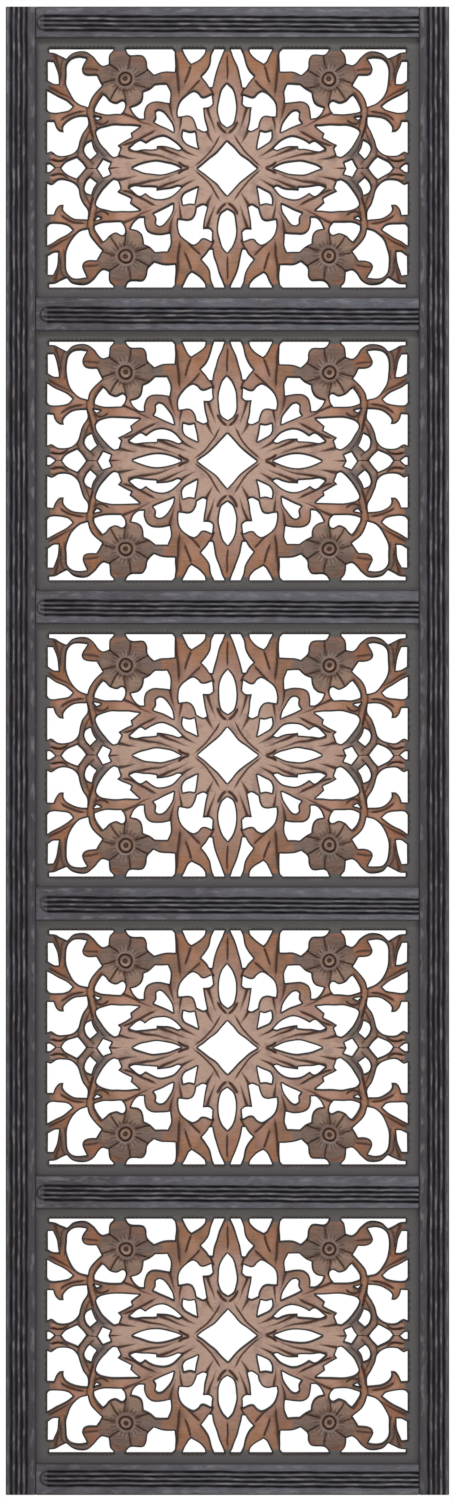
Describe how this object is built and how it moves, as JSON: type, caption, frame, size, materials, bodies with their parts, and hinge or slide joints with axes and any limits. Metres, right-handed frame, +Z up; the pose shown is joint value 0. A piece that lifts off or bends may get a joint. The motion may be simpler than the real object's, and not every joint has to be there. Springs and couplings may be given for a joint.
{
  "type": "carved wall panel",
  "caption": "Tall wall panel: a reeded wooden frame holding a column of pierced boards carved with flowers, leaves and scrolling stems.",
  "frame": {"origin": "centre of the top rail's back face, where the panel is fixed to the wall", "axes": "+Z up along the stiles, +Y into the wall, so the carved front faces -Y; +X to the viewer's right"},
  "size_m": [0.36, 0.022, 1.2084],
  "materials": {
    "frame_wood": "dark stain, worn along the reeds",
    "carved_wood": "brown stain over carving, dark in the grooves"
  },
  "bodies": {
    "root": {"stile_left": "frame_wood", "stile_right": "frame_wood", "rail_1": "frame_wood", "rail_2": "frame_wood", "rail_3": "frame_wood", "rail_4": "frame_wood", "rail_5": "frame_wood", "rail_6": "frame_wood", "carved_board_1": "carved_wood", "carved_board_2": "carved_wood", "carved_board_3": "carved_wood", "carved_board_4": "carved_wood", "carved_board_5": "carved_wood"}
  },
  "joints": []
}
